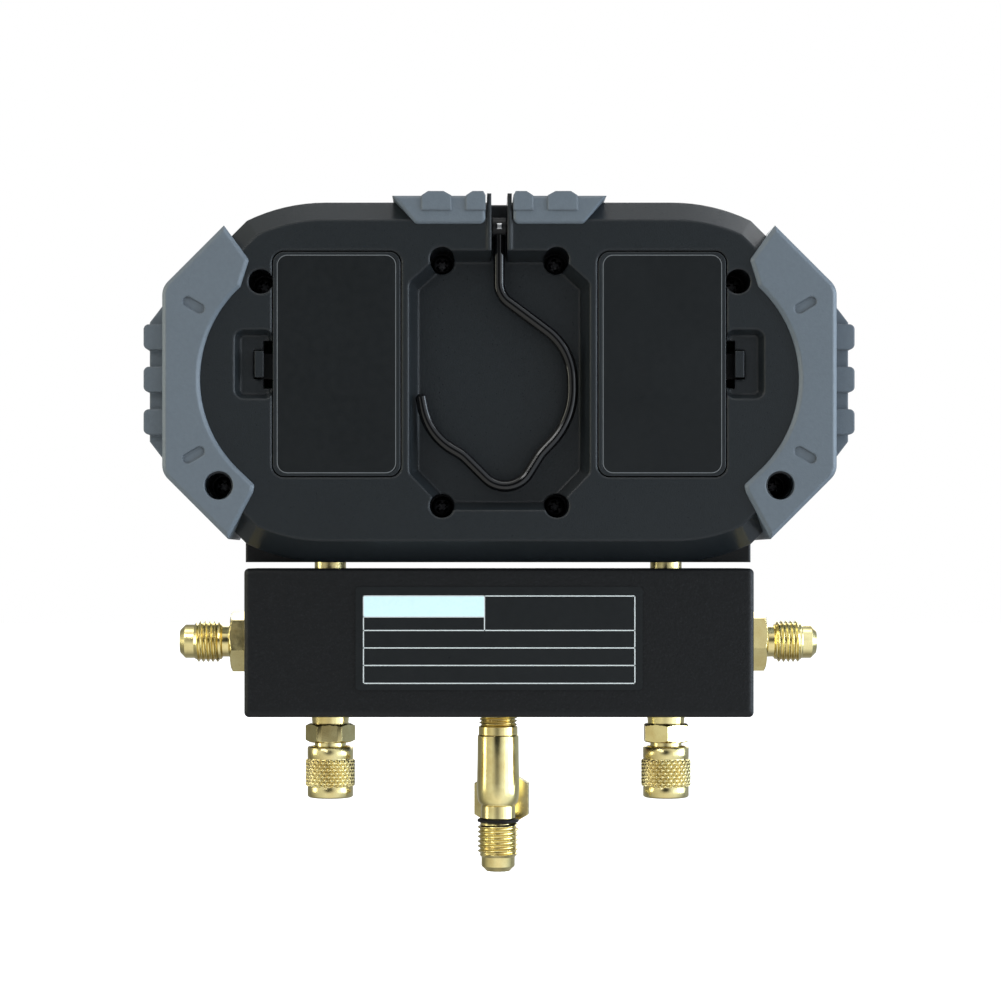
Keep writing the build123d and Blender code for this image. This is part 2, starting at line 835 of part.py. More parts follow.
# ---- Batteries and their snap contacts ----
bay_top = cover_z + bay_h / 2
stud_base = bay_top - contact_t
battery_mid_y = -(bay_floor_back + battery_t / 2)

for name, sign in sides.items():
    top_plane = Plane(origin=(sign * cover_x, battery_mid_y, housing_z + stud_base))
    with BuildPart() as battery:
        with BuildSketch(top_plane.offset(-battery_h)):
            RectangleRounded(battery_w, battery_t, window_round)
        extrude(amount=battery_h)
        with BuildSketch(top_plane):
            with Locations((stud_pitch / 2, 0), (-stud_pitch / 2, 0)):
                Circle(stud_d / 2)
        extrude(amount=stud_h)
    save(f"{name}_battery", battery.part)

with BuildPart() as battery_contacts:
    contact_plane = Plane(origin=(0, battery_mid_y, housing_z + stud_base))
    with BuildSketch(contact_plane):
        for sign in (1, -1):
            with Locations((sign * cover_x, 0)):
                RectangleRounded(battery_w, battery_t - contact_inset, contact_round)
    extrude(amount=contact_t)
    with BuildSketch(contact_plane):
        for sign in (1, -1):
            with Locations(
                (sign * cover_x + stud_pitch / 2, 0), (sign * cover_x - stud_pitch / 2, 0)
            ):
                Circle(stud_d / 2 + hair)
    extrude(amount=stud_h + 2 * hair, mode=Mode.SUBTRACT)
save("battery_contacts", battery_contacts.part)

# ---- Dial side of each gauge ----
for name, sign in sides.items():
    x0 = sign * gauge_x
    keys = [(step * button_pitch, button_z) for step in (-1, 0, 1)]
    with BuildPart() as face_plate:
        with BuildSketch(back_plane(front_depth, x=x0)):
            Circle(dial_r - hair)
            with Locations((0, window_z)):
                RectangleRounded(window_w, window_h, window_round, mode=Mode.SUBTRACT)
            with Locations(*keys):
                Circle(button_d / 2 + button_play, mode=Mode.SUBTRACT)
        extrude(amount=dial_t)
    with BuildPart() as bezel:
        turned(
            axis_plane((x0, front_depth, housing_z), (0, 1, 0)),
            ((0, bezel_r), (bezel_proud - bezel_edge, bezel_r), (bezel_proud, bezel_r - bezel_edge)),
        )
        turned(
            axis_plane((x0, front_depth - 1, housing_z), (0, 1, 0)),
            (
                (0, bezel_inner_r),
                (bezel_lip, bezel_inner_r),
                (bezel_proud + 2, bezel_inner_r + bezel_proud * bezel_slope),
            ),
            mode=Mode.SUBTRACT,
        )
    with BuildPart() as lens:
        with BuildSketch(back_plane(dial_back, x=x0)):
            with Locations((0, window_z)):
                RectangleRounded(lens_w, lens_h, window_round)
        extrude(amount=lens_t)
    with BuildPart() as lcd:
        with BuildSketch(back_plane(dial_back - lens_t, x=x0)):
            with Locations((0, window_z)):
                Rectangle(lcd_w, lcd_h)
        extrude(amount=dial_back - lens_t - board_front)
    with BuildPart() as circuit_board:
        with BuildSketch(back_plane(board_front, x=x0)):
            with Locations((0, board_mid_z)):
                Rectangle(board_w, board_z1 - board_z0)
        extrude(amount=board_t)
        with BuildSketch(back_plane(board_front)):
            with Locations(*post_sites):
                Circle(post_pin_d / 2 + hair)
        extrude(amount=board_t, mode=Mode.SUBTRACT)
    for kind, piece in (
        ("face_plate", face_plate),
        ("bezel", bezel),
        ("lens", lens),
        ("lcd", lcd),
        ("circuit_board", circuit_board),
    ):
        save(f"{name}_{kind}", piece.part)
    for key, (step, key_z) in zip(("power", "unit", "zero"), keys):
        with BuildPart() as button:
            with BuildSketch(back_plane(front_depth + button_proud, x=x0)):
                with Locations((step, key_z)):
                    Circle(button_d / 2)
            extrude(amount=front_depth + button_proud - wall_inside)
            chamfer(button.faces().sort_by(Axis.Y)[-1].edges(), 0.5)
            with BuildSketch(back_plane(wall_inside, x=x0)):
                with Locations((step, key_z)):
                    Circle(button_d / 2 + button_flange)
            extrude(amount=button_flange_t)
        save(f"{name}_{key}_button", button.part)

with BuildPart() as button_switches:
    with BuildSketch(back_plane(board_front)):
        with Locations(*button_sites):
            RectangleRounded(switch_w, switch_w, switch_round)
    extrude(amount=-switch_body)
    with BuildSketch(back_plane(board_front + switch_body)):
        with Locations(*button_sites):
            Circle(plunger_d / 2)
    switch_top = wall_inside - button_flange_t - button_travel - hair
    extrude(amount=-(switch_top - board_front - switch_body))
save("button_switches", button_switches.part)

# ---- Gauge stems and pressure sensors ----
for name, sign in sides.items():
    stem_plane = Plane(origin=(sign * gauge_x, 0, block_top - stem_in))
    inside = stem_in + housing_gap + wall + stem_hex_gap
    with BuildPart() as gauge_stem:
        turned(stem_plane, ((0, stem_d / 2), (inside, stem_d / 2)))
        hexagon(stem_plane, inside, stem_hex_t, stem_hex_af)
        drilled(stem_plane, stem_bore_d, 0, inside + stem_hex_t - 1)
    with BuildPart() as sensor:
        base = inside + stem_hex_t
        turned(
            stem_plane,
            (
                (base, sensor_d / 2 - sensor_edge),
                (base + sensor_edge, sensor_d / 2),
                (base + sensor_len, sensor_d / 2),
                (base + sensor_len, sensor_head_d / 2),
                (base + sensor_len + sensor_head_len, sensor_head_d / 2),
            ),
        )
    save(f"{name}_gauge_stem", gauge_stem.part)
    save(f"{name}_pressure_sensor", sensor.part)

# ---- Manifold block with its galleries ----
valve_seat_y = block_front - chamber_depth
gallery_y = valve_seat_y - 4.0

with BuildPart() as manifold_block:
    with BuildSketch(Plane.XY.offset(block_z0)):
        Rectangle(block_w, block_d)
    extrude(amount=block_h)
    fillet(manifold_block.edges(), block_edge)
    for sign in (1, -1):
        end_plane = axis_plane((sign * block_w / 2, 0, port_z), (sign, 0, 0))
        drilled(end_plane, pipe_d, -pipe_len, 1)
        drilled(end_plane, passage_d, gauge_x - block_w / 2, 0)
        top = Plane(origin=(sign * gauge_x, 0, block_top))
        drilled(top, stem_d, -stem_in, 1)
        drilled(top, passage_d, -block_h, 0)
        bottom = axis_plane((sign * gauge_x, 0, block_z0), (0, 0, -1))
        drilled(bottom, pipe_d, -pipe_len, 1)
        valve = axis_plane((sign * gauge_x, block_front, port_z), (0, 1, 0))
        drilled(valve, bonnet_d, -bonnet_in, 1)
        drilled(valve, chamber_d, -chamber_depth, 0)
        drilled(valve, passage_d, gallery_y - block_front, 0)
    drilled(axis_plane((0, gallery_y, port_z), (1, 0, 0)), passage_d, -gauge_x, gauge_x)
    drilled(axis_plane((0, 0, block_z0), (0, 0, -1)), pipe_d, -pipe_len, 1)
    drilled(axis_plane((0, 0, block_z0), (0, 0, -1)), passage_d, -block_h / 2, 0)
    sight_plane = axis_plane((0, block_front, port_z), (0, 1, 0))
    drilled(sight_plane, sight_thread_d, -sight_in, 1)
    drilled(sight_plane, passage_d, gallery_y - block_front, 0)

with BuildPart() as label_plate:
    with BuildSketch(back_plane(-block_front, z=port_z + label_drop)):
        RectangleRounded(label_w, label_h, label_round)
    extrude(amount=label_t)

save("manifold_block", manifold_block.part)
save("label_plate", label_plate.part)

# ---- Side hose ports ----
for name, sign in sides.items():
    end_plane = axis_plane((sign * block_w / 2, 0, port_z), (sign, 0, 0))
    with BuildPart() as side_port:
        turned(end_plane, ((-pipe_len, pipe_d / 2), (0, pipe_d / 2)))
        hexagon(end_plane, 0, side_hex_t, side_hex_af, side_hex_turn[name])
        flare_end(end_plane, side_hex_t, side_relief_len, side_thread_len)
        drilled(
            end_plane,
            port_bore_d,
            -pipe_len,
            side_hex_t + side_relief_len + side_thread_len + nose_len,
        )
    save(f"{name}_side_port", side_port.part)

# ---- Service fitting: nipple, tee with its branch, O-ring ----
service_plane = Plane(origin=(0, 0, 0), x_dir=(1, 0, 0), z_dir=(0, 0, 1))
tee_bottom = service_thread_len + seal_wire_d + service_neck_len
tee_top = block_z0 - nipple_len
turn = radians(tee_turn)
branch_dir = (-sin(turn), cos(turn), 0)
branch_plane = axis_plane((0, 0, branch_z), branch_dir)
cone = (nose_d - nose_tip_d) / 2

with BuildPart() as service_nipple:
    turned(
        service_plane,
        (
            (tee_top, nipple_d / 2 - press_edge),
            (tee_top + nipple_collar_len, nipple_d / 2 - press_edge),
            (tee_top + nipple_collar_len, pipe_d / 2),
            (block_z0 + pipe_len, pipe_d / 2),
        ),
    )
    drilled(service_plane, port_bore_d, tee_top, block_z0 + pipe_len)

with BuildPart() as service_tee:
    turned(
        service_plane,
        (
            (-nose_len, nose_tip_d / 2),
            (-nose_len + cone, nose_d / 2),
            (0, nose_d / 2),
            (0, flare_d / 2),
            (service_thread_len, flare_d / 2),
            (service_thread_len, relief_d / 2),
            (tee_bottom, relief_d / 2),
            (tee_bottom, tee_d / 2 - tee_round),
            (tee_bottom + 0.3 * tee_round, tee_d / 2 - 0.6 * tee_round),
            (tee_bottom + tee_round, tee_d / 2 + hair),
            (tee_top, tee_d / 2 - press_edge),
        ),
    )
    turned(branch_plane, ((0, branch_boss_d / 2), (branch_boss_len, branch_boss_d / 2)))
    drilled(service_plane, port_bore_d, -nose_len, tee_top)
    drilled(branch_plane, port_bore_d, 0, branch_boss_len)

seal_r = (relief_d + seal_wire_d) / 2 + seal_gap

with BuildPart() as service_seal:
    with BuildSketch(Plane.XZ):
        with Locations((seal_r, service_thread_len + seal_gap + seal_wire_d / 2)):
            Circle(seal_wire_d / 2)
    revolve(axis=Axis.Z)

with BuildPart() as branch_port:
    hexagon(branch_plane, branch_boss_len, branch_hex_t, branch_hex_af)
    branch_shoulder = branch_boss_len + branch_hex_t
    flare_end(branch_plane, branch_shoulder, branch_relief_len, branch_thread_len)
    drilled(
        branch_plane,
        port_bore_d,
        branch_boss_len,
        branch_shoulder + branch_relief_len + branch_thread_len + nose_len,
    )

save("service_nipple", service_nipple.part)
save("service_tee", service_tee.part)
save("service_seal", service_seal.part)
save("branch_port", branch_port.part)

# ---- Bottom access ports with their knurled caps ----
cap_at = bottom_neck_len + bottom_hex_t + cap_gap
bottom_thread_at = bottom_neck_len + bottom_hex_t + bottom_relief_len
seal_at = cap_at + cap_len - cap_floor - cap_seal_t

for name, sign in sides.items():
    down = axis_plane((sign * gauge_x, 0, block_z0), (0, 0, -1))
    with BuildPart() as bottom_port:
        turned(down, ((-pipe_len, pipe_d / 2), (bottom_neck_len, pipe_d / 2 - pipe_taper)))
        hexagon(down, bottom_neck_len, bottom_hex_t, bottom_hex_af, bottom_hex_turn[name])
        turned(
            down,
            (
                (bottom_neck_len + bottom_hex_t, bottom_relief_d / 2),
                (bottom_thread_at, bottom_relief_d / 2),
                (bottom_thread_at, flare_pitch_d / 2),
                (bottom_thread_at + bottom_thread_len, flare_pitch_d / 2),
                (bottom_thread_at + bottom_thread_len, nose_d / 2),
                (seal_at - cone, nose_d / 2),
                (seal_at, nose_tip_d / 2),
            ),
        )
        drilled(down, port_bore_d, -pipe_len, seal_at)
    with BuildPart() as port_cap:
        cap_end = cap_at + cap_len
        turned(
            down,
            (
                (cap_at, cap_d / 2 - edge_break),
                (cap_at + edge_break, cap_d / 2),
                (cap_at + knurl_start, cap_d / 2),
                (cap_at + knurl_start + edge_break, knurl_d / 2),
                (cap_at + knurl_start + knurl_len - edge_break, knurl_d / 2),
                (cap_at + knurl_start + knurl_len, cap_d / 2),
                (cap_end - 0.5, cap_d / 2),
                (cap_end, cap_d / 2 - 0.5),
            ),
        )
        drilled(down, flare_pitch_d + 2 * cap_fit, cap_at, cap_end - cap_floor)
    with BuildPart() as cap_seal:
        cap_seal_r = flare_pitch_d / 2 + cap_fit - cap_seal_play
        turned(down, ((seal_at, cap_seal_r), (seal_at + cap_seal_t, cap_seal_r)))
    save(f"{name}_bottom_port", bottom_port.part)
    save(f"{name}_port_cap", port_cap.part)
    save(f"{name}_cap_seal", cap_seal.part)

# ---- Valves: bonnet, piston, spindle and hand knob ----
spindle_flange_at = -bonnet_in - 0.2
piston_back = -chamber_depth + piston_nose_len
piston_front = -chamber_depth + piston_nose_len + piston_len
thread_end = piston_back + valve_lift + 1.5
knob_at = bonnet_hex_t + bonnet_collar_len + knob_gap

for name, sign in sides.items():
    valve = axis_plane((sign * gauge_x, block_front, port_z), (0, 1, 0))
    with BuildPart() as bonnet:
        turned(valve, ((-bonnet_in, bonnet_d / 2), (0, bonnet_d / 2)))
        hexagon(valve, 0, bonnet_hex_t, bonnet_hex_af)
        turned(
            valve,
            (
                (bonnet_hex_t, bonnet_collar_d / 2),
                (bonnet_hex_t + bonnet_collar_len - bonnet_edge, bonnet_collar_d / 2),
                (bonnet_hex_t + bonnet_collar_len, bonnet_collar_d / 2 - bonnet_edge),
            ),
        )
        drilled(
            valve,
            spindle_d + 2 * spindle_fit,
            -bonnet_in,
            bonnet_hex_t + bonnet_collar_len,
        )
    with BuildPart() as piston:
        turned(
            valve,
            (
                (-chamber_depth, piston_tip_d / 2),
                (piston_back, chamber_d / 2 - piston_fit),
                (piston_front, chamber_d / 2 - piston_fit),
            ),
        )
        drilled(
            valve,
            spindle_thread_d + 2 * spindle_fit,
            thread_end - valve_lift - 0.5,
            piston_front,
        )
    with BuildPart() as spindle:
        turned(
            valve,
            (
                (thread_end, spindle_thread_d / 2),
                (spindle_flange_at - spindle_flange_t, spindle_thread_d / 2),
                (spindle_flange_at - spindle_flange_t, spindle_flange_d / 2),
                (spindle_flange_at, spindle_flange_d / 2),
                (spindle_flange_at, spindle_d / 2),
                (knob_at + knob_t - knob_dish, spindle_d / 2),
            ),
        )
    with BuildPart() as knob:
        with BuildSketch(valve.offset(knob_at)) as knob_sketch:
            Circle(knob_d / 2)
            with PolarLocations(knob_d / 2 + knob_flute_r - knob_flute_bite, knob_lobes):
                Circle(knob_flute_r, mode=Mode.SUBTRACT)
            fillet(knob_sketch.vertices(), knob_lobe_round)
        extrude(amount=knob_t)
        chamfer(knob.faces().sort_by(Axis.Y)[-1].edges(), knob_front_edge)
        chamfer(knob.faces().sort_by(Axis.Y)[0].edges(), knob_back_edge)
        turned(
            valve,
            (
                (knob_at + knob_t - knob_dish, knob_dish_d / 2 - knob_dish_slope),
                (knob_at + knob_t + hair, knob_dish_d / 2),
            ),
            mode=Mode.SUBTRACT,
        )
        drilled(valve, spindle_d, knob_at, knob_at + knob_t)
    save(f"{name}_valve_bonnet", bonnet.part)
    save(f"{name}_valve_piston", piston.part)
    save(f"{name}_valve_spindle", spindle.part)
    save(f"{name}_valve_knob", knob.part)

# ---- Sight glass ----
with BuildPart() as sight_ring:
    turned(
        sight_plane,
        (
            (-sight_in, sight_thread_d / 2),
            (0, sight_thread_d / 2),
            (0, sight_d / 2),
            (sight_proud - 0.5, sight_d / 2),
            (sight_proud, sight_d / 2 - 0.5),
        ),
    )
    drilled(sight_plane, sight_glass_d, -sight_glass_t, sight_proud)
    drilled(sight_plane, sight_glass_d - 4, -sight_in, 0)

with BuildPart() as sight_glass:
    turned(sight_plane, ((-sight_glass_t, sight_glass_d / 2), (0, sight_glass_d / 2)))

save("sight_glass_ring", sight_ring.part)
save("sight_glass", sight_glass.part)
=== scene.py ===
from math import cos, pi, radians, sin, sqrt, tau

import bmesh
import bpy
from mathutils import Matrix, Vector


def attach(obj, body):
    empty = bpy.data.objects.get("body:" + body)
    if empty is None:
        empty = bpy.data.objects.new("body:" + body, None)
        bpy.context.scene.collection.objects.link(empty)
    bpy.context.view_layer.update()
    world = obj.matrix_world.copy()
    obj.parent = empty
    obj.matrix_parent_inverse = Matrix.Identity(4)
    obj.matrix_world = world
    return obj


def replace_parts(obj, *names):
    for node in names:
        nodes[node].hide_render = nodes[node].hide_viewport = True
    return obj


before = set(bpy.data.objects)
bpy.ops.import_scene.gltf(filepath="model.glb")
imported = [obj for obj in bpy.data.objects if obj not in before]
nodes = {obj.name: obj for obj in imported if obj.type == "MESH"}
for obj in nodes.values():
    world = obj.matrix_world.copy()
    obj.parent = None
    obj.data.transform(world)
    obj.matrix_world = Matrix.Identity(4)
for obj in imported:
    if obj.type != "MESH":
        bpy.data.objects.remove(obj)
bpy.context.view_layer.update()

MM = 0.001
scene = bpy.context.scene
scene.view_settings.view_transform = "Standard"
SIDES = {"low": 1, "high": -1}

# main places, in mm
GAUGE_X = 44.8          # dial, bottom port and valve from the middle
BLOCK_END_X = 66.7
BLOCK_BOTTOM_Z = 38.0
PORT_Z = 57.5
HOUSING_Z = 125.8       # middle height of the housing
LABEL_Y = -16.4         # face of the block's label plate
COVER_Y = -22.0         # outer face of the battery covers
FLOOR_Z = -0.12         # in metres
CREASE = 22             # angle in degrees above which a turned fitting's edge stays sharp
TURNED = ("brass_bright", "housing", "brass", CREASE)


# ---------------------------------------------------------------- materials
def colour_ramp(tree, fac, stops):
    node = tree.nodes.new("ShaderNodeValToRGB")
    elements = node.color_ramp.elements
    while len(elements) < len(stops):
        elements.new(0.5)
    for element, (position, value) in zip(elements, stops):
        element.position = position
        element.color = (*value, 1) if isinstance(value, tuple) else (value, value, value, 1)
    tree.links.new(fac, node.inputs["Fac"])
    return node.outputs["Color"]


class Mat:
    """A node material built around one Principled shader, with its noise in object space."""

    def __init__(self, name, color=(0.5, 0.5, 0.5), rough=0.5, **sockets):
        self.m = bpy.data.materials.new(name)
        self.m.use_nodes = True
        self.t = self.m.node_tree
        self.n = self.t.nodes
        self.b = self.n["Principled BSDF"]
        self.b.inputs["Base Color"].default_value = (*color, 1)
        self.b.inputs["Roughness"].default_value = rough
        for k, v in sockets.items():
            self.b.inputs[k.replace("_", " ")].default_value = v
        self.at = self.n.new("ShaderNodeTexCoord").outputs["Object"]

    def link(self, a, b):
        self.t.links.new(a, b)

    def noise(self, scale, detail=2.0, rough=0.5):
        node = self.n.new("ShaderNodeTexNoise")
        node.inputs["Scale"].default_value = scale
        node.inputs["Detail"].default_value = detail
        node.inputs["Roughness"].default_value = rough
        self.link(self.at, node.inputs["Vector"])
        return node.outputs["Fac"]

    def varied(self, scale, detail, span, least):
        """Noise that wanders from least to least + span."""
        return self.math("MULTIPLY_ADD", self.noise(scale, detail), span, least)

    def math(self, op, a, b=None, c=None, clamp=False):
        node = self.n.new("ShaderNodeMath")
        node.operation = op
        node.use_clamp = clamp
        for i, v in enumerate((a, b, c)):
            if v is None:
                continue
            if isinstance(v, (int, float)):
                node.inputs[i].default_value = v
            else:
                self.link(v, node.inputs[i])
        return node.outputs[0]

    def ramp(self, fac, stops):
        return colour_ramp(self.t, fac, stops)

    def mix(self, fac, a, b):
        node = self.n.new("ShaderNodeMix")
        node.data_type = "RGBA"
        for sock, v in ((node.inputs[0], fac), (node.inputs[6], a), (node.inputs[7], b)):
            if isinstance(v, (int, float)):
                sock.default_value = v
            elif isinstance(v, tuple):
                sock.default_value = (*v, 1)
            else:
                self.link(v, sock)
        return node.outputs[2]

    def bump(self, height, strength, distance, normal=None):
        node = self.n.new("ShaderNodeBump")
        node.inputs["Strength"].default_value = strength
        node.inputs["Distance"].default_value = distance
        self.link(height, node.inputs["Height"])
        if normal is not None:
            self.link(normal, node.inputs["Normal"])
        return node.outputs["Normal"]

    def bevel(self, radius):
        node = self.n.new("ShaderNodeBevel")
        node.samples = 4
        node.inputs["Radius"].default_value = radius
        return node.outputs["Normal"]

    def axis(self, k):
        node = self.n.new("ShaderNodeSeparateXYZ")
        self.link(self.at, node.inputs[0])
        return node.outputs[k]

    def out(self, color=None, rough=None, normal=None):
        if color is not None:
            self.link(color, self.b.inputs["Base Color"])
        if rough is not None:
            self.link(rough, self.b.inputs["Roughness"])
        if normal is not None:
            self.link(normal, self.b.inputs["Normal"])
        return self.m


def plastic(name, dark, light, rough, grain=2600, depth=0.00006, edge=0.0004, seam=False, gloss=0.3):
    m = Mat(name, dark, rough, Specular_IOR_Level=gloss)
    fine = m.noise(grain, 2)
    broad = m.noise(26, 3)
    color = m.mix(broad, dark, light)
    color = m.mix(m.math("MULTIPLY", m.noise(900, 3), 0.5), color, tuple(1.35 * c for c in light))
    r = m.math("MULTIPLY_ADD", fine, 0.16, rough - 0.08)
    if seam:
        near = m.math("COMPARE", m.axis(1), 0.0, 0.00016)
        color = m.mix(near, color, tuple(0.25 * c for c in dark))
        fine = m.math("SUBTRACT", fine, m.math("MULTIPLY", near, 4.0))
    return m.out(color, r, m.bump(fine, 0.55, depth, m.bevel(edge)))


def brass(name, base=(0.75, 0.66, 0.33), rough=0.2, brushed=0.25):
    m = Mat(name, base, rough, Metallic=1.0)
    stain = m.ramp(m.noise(140, 4, 0.6), ((0.38, 0.0), (0.72, 1.0)))
    color = m.mix(stain, base, tuple(c * k for c, k in zip(base, (0.80, 0.72, 0.60))))
    r = m.varied(420, 3, 0.22, rough - 0.08)
    return m.out(color, r, m.bump(m.noise(2200, 3), brushed, 0.00004, m.bevel(0.00008)))


def printed(name, base, dark, light, grain=1500):
    """Ink on a label film; also the light ring round the cover labels, which is a painted highlight on the
    film's edge.
    """
    m = Mat(name, base, 0.35)
    return m.out(m.mix(m.noise(grain, 3), dark, light), m.varied(900, 2, 0.15, 0.28))


BLACK_DARK, BLACK_LIGHT = (0.0065, 0.0084, 0.0098), (0.0095, 0.0122, 0.0142)
M = {
    "housing": plastic("housing_plastic", BLACK_DARK, BLACK_LIGHT, 0.31, edge=0.0010, seam=True, gloss=0.36),
    "cover": plastic("cover_plastic", BLACK_DARK, BLACK_LIGHT, 0.31, gloss=0.36),
    "face": plastic("face_plastic", (0.010, 0.012, 0.0135), (0.014, 0.016, 0.018), 0.32, depth=0.00002),
    "bezel": plastic("bezel_plastic", (0.012, 0.0145, 0.016), (0.02, 0.024, 0.026), 0.30, depth=0.00003),
    "switch": plastic("switch_plastic", (0.015, 0.015, 0.015), (0.03, 0.03, 0.03), 0.5),
    "bumper": plastic("bumper_rubber", (0.074, 0.092, 0.109), (0.091, 0.112, 0.132), 0.42,
                      1900, 0.00008, 0.0007, gloss=0.5),
    "key": plastic("button_rubber", (0.16, 0.19, 0.21), (0.21, 0.24, 0.26), 0.6, 2400, 0.00005),
    "knob_low": plastic("knob_blue", (0.008, 0.045, 0.24), (0.015, 0.07, 0.34), 0.4, 1700, 0.00007, 0.0005),
    "knob_high": plastic("knob_red", (0.30, 0.010, 0.008), (0.42, 0.020, 0.014), 0.4, 1700, 0.00007, 0.0005),
    "seal": plastic("seal_rubber", (0.004, 0.004, 0.004), (0.008, 0.008, 0.008), 0.45, gloss=0.15),
    "board": plastic("board_green", (0.008, 0.06, 0.025), (0.015, 0.11, 0.045), 0.4),
    "jacket": plastic("battery_case", (0.012, 0.02, 0.05), (0.02, 0.03, 0.07), 0.35),
    "barrel": plastic("hook_barrel_black", (0.004, 0.0042, 0.0046), (0.007, 0.0074, 0.008), 0.36, gloss=0.2),
    "brass": brass("brass"),
    "brass_bright": brass("brass_turned", (0.81, 0.71, 0.35), 0.15, 0.08),
    "ink": printed("label_ink", (0.52, 0.56, 0.56), (0.46, 0.50, 0.50), (0.60, 0.64, 0.64)),
    "header": printed("label_header", (0.58, 0.80, 0.88), (0.55, 0.77, 0.85), (0.64, 0.86, 0.93), 1300),
    # the next colour is a light grey that paints the highlight along the cover labels' edges
    "edge_highlight": printed("label_edge_highlight", (0.10, 0.108, 0.112), (0.085, 0.092, 0.096), (0.13, 0.14, 0.145)),
}

m = Mat("block_coat", (0.006, 0.0065, 0.007), 0.36, Specular_IOR_Level=0.25)
grain = m.noise(1300, 3, 0.6)
specks = m.ramp(m.noise(2400, 2), ((0.55, 0.0), (0.75, 1.0)))
color = m.mix(specks, (0.0038, 0.0044, 0.0050), (0.0085, 0.0095, 0.0110))
normal = m.bump(grain, 0.6, 0.00012, m.bevel(0.0014))
M["block"] = m.out(color, m.math("MULTIPLY_ADD", grain, 0.25, 0.25), normal)

m = Mat("hook_black", (0.0016, 0.0018, 0.0021), 0.10, Specular_IOR_Level=0.42)
M["hook"] = m.out(None, m.varied(300, 3, 0.08, 0.07), m.bump(m.noise(260, 2), 0.15, 0.00008))

m = Mat("bright_steel", (0.62, 0.63, 0.64), 0.22, Metallic=1.0)
normal = m.bump(m.noise(2600, 2), 0.2, 0.00003, m.bevel(0.0001))
M["steel"] = m.out(None, m.varied(900, 3, 0.25, 0.14), normal)

m = Mat("screw_zinc", (0.05, 0.05, 0.053), 0.3, Metallic=1.0)
color = m.mix(m.noise(700, 2), (0.03, 0.03, 0.033), (0.085, 0.085, 0.09))
M["screw"] = m.out(color, m.varied(1200, 3, 0.3, 0.2))

m = Mat("label_film", (0.005, 0.0062, 0.007), 0.30, Specular_IOR_Level=0.3)
color = m.mix(m.noise(60, 2), (0.0045, 0.0058, 0.0066), (0.0075, 0.0092, 0.0102))
M["label"] = m.out(color, m.varied(500, 2, 0.12, 0.25), m.bump(m.noise(3200, 2), 0.15, 0.00003))

m = Mat("lcd_glass", (0.30, 0.35, 0.27), 0.18)
color = m.mix(m.noise(40, 2), (0.27, 0.32, 0.245), (0.34, 0.39, 0.30))
M["lcd"] = m.out(color, m.varied(2000, 2, 0.08, 0.12))
m = Mat("lcd_ink", (0.012, 0.016, 0.014), 0.25)
M["digit"] = m.out(m.mix(m.noise(800, 2), (0.010, 0.013, 0.012), (0.02, 0.025, 0.022)))

for key, tint, alpha in (("lens", (0.05, 0.055, 0.055), 0.14), ("sight", (0.10, 0.13, 0.115), 0.30)):
    m = Mat(f"{key}_clear", tint, 0.03, Alpha=alpha, Specular_IOR_Level=1.0)
    M[key] = m.out(None, m.varied(200, 2, 0.04, 0.02), m.bump(m.noise(90, 2), 0.05, 0.0001))


def paint(name, key):
    ob = nodes[name]
    ob.data.materials.clear()
    ob.data.materials.append(M[key])


# ---------------------------------------------------------------- mesh helpers
def finish_mesh(bm, name, mat, body, slot, smooth=35):
    bmesh.ops.remove_doubles(bm, verts=bm.verts, dist=1e-7)
    bmesh.ops.recalc_face_normals(bm, faces=bm.faces)
    me = bpy.data.meshes.new(name)
    bm.to_mesh(me)
    bm.free()
    me.materials.append(M[mat])
    me.shade_smooth()
    me.set_sharp_from_angle(angle=radians(smooth))
    ob = bpy.data.objects.new(name, me)
    scene.collection.objects.link(ob)
    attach(ob, body)
    return ob


def placing(origin, axis, spin=0.0):
    """Matrix that puts a fitting drawn along +Z, in mm, at its place in metres."""
    z = Vector(axis).normalized()
    x = Vector((1, 0, 0)) if abs(z.x) < 0.9 else Vector((0, 0, 1))
    y = z.cross(x).normalized()
    x = y.cross(z)
    rot = Matrix((x, y, z)).transposed().to_4x4()
    return Matrix.Translation(Vector(origin) * MM) @ rot @ Matrix.Rotation(spin, 4, "Z") @ Matrix.Scale(MM, 4)


def shaped(bm, rows, seg, place):
    """Rings of radius r, a number or a function of the angle, joined into a skin."""
    rings = []
    for z, r in rows:
        ring = []
        for k in range(seg):
            a = tau * k / seg
            rad = r(a) if callable(r) else r
            ring.append(bm.verts.new(place @ Vector((rad * cos(a), rad * sin(a), z))))
        rings.append(ring)
    for lower, upper in zip(rings, rings[1:]):
        for k in range(seg):
            bm.faces.new((lower[k], lower[(k + 1) % seg], upper[(k + 1) % seg], upper[k]))


def hex_radius(flats, cap):
    """Distance from the axis to a hexagon's side, no further than the chamfer cone's radius."""
    def r(a):
        t = (a + pi / 6) % (pi / 3) - pi / 6
        return min(flats / 2 / cos(t), cap)
    return r


def hex_rows(z, thick, flats, chamfer=0.6):
    corner = flats / sqrt(3)
    rows = [(z + chamfer * 0.5 * k / 4, hex_radius(flats, corner - chamfer * (1 - k / 4))) for k in range(5)]
    return rows + [(2 * z + thick - h, r) for h, r in reversed(rows)]


def helix(bm, place, z0, z1, major, minor, pitch, end_low, end_high):
    """Thread between z0 and z1: a spiral skin with rounded crests, turned down at both ends."""
    seg = 64
    crest = major - 0.05
    profile = ((0.0, minor), (0.08, minor), (0.42, crest), (0.5, major),
               (0.58, crest), (0.92, minor), (1.0, minor))
    turns = (z1 - z0) / pitch + 1
    previous = None
    for k in range(int(seg * turns) + 1):
        a = tau * k / seg
        column = []
        for f, r in profile:
            z = min(max(z0 + pitch * (k / seg + f - 1), z0), z1)
            r = min(r, end_low + (z - z0) * 1.1, end_high + (z1 - z) * 0.9)
            column.append(bm.verts.new(place @ Vector((r * cos(a), r * sin(a), z))))
        if previous:
            for j in range(len(column) - 1):
                bm.faces.new((previous[j], column[j], column[j + 1], previous[j + 1]))
        previous = column


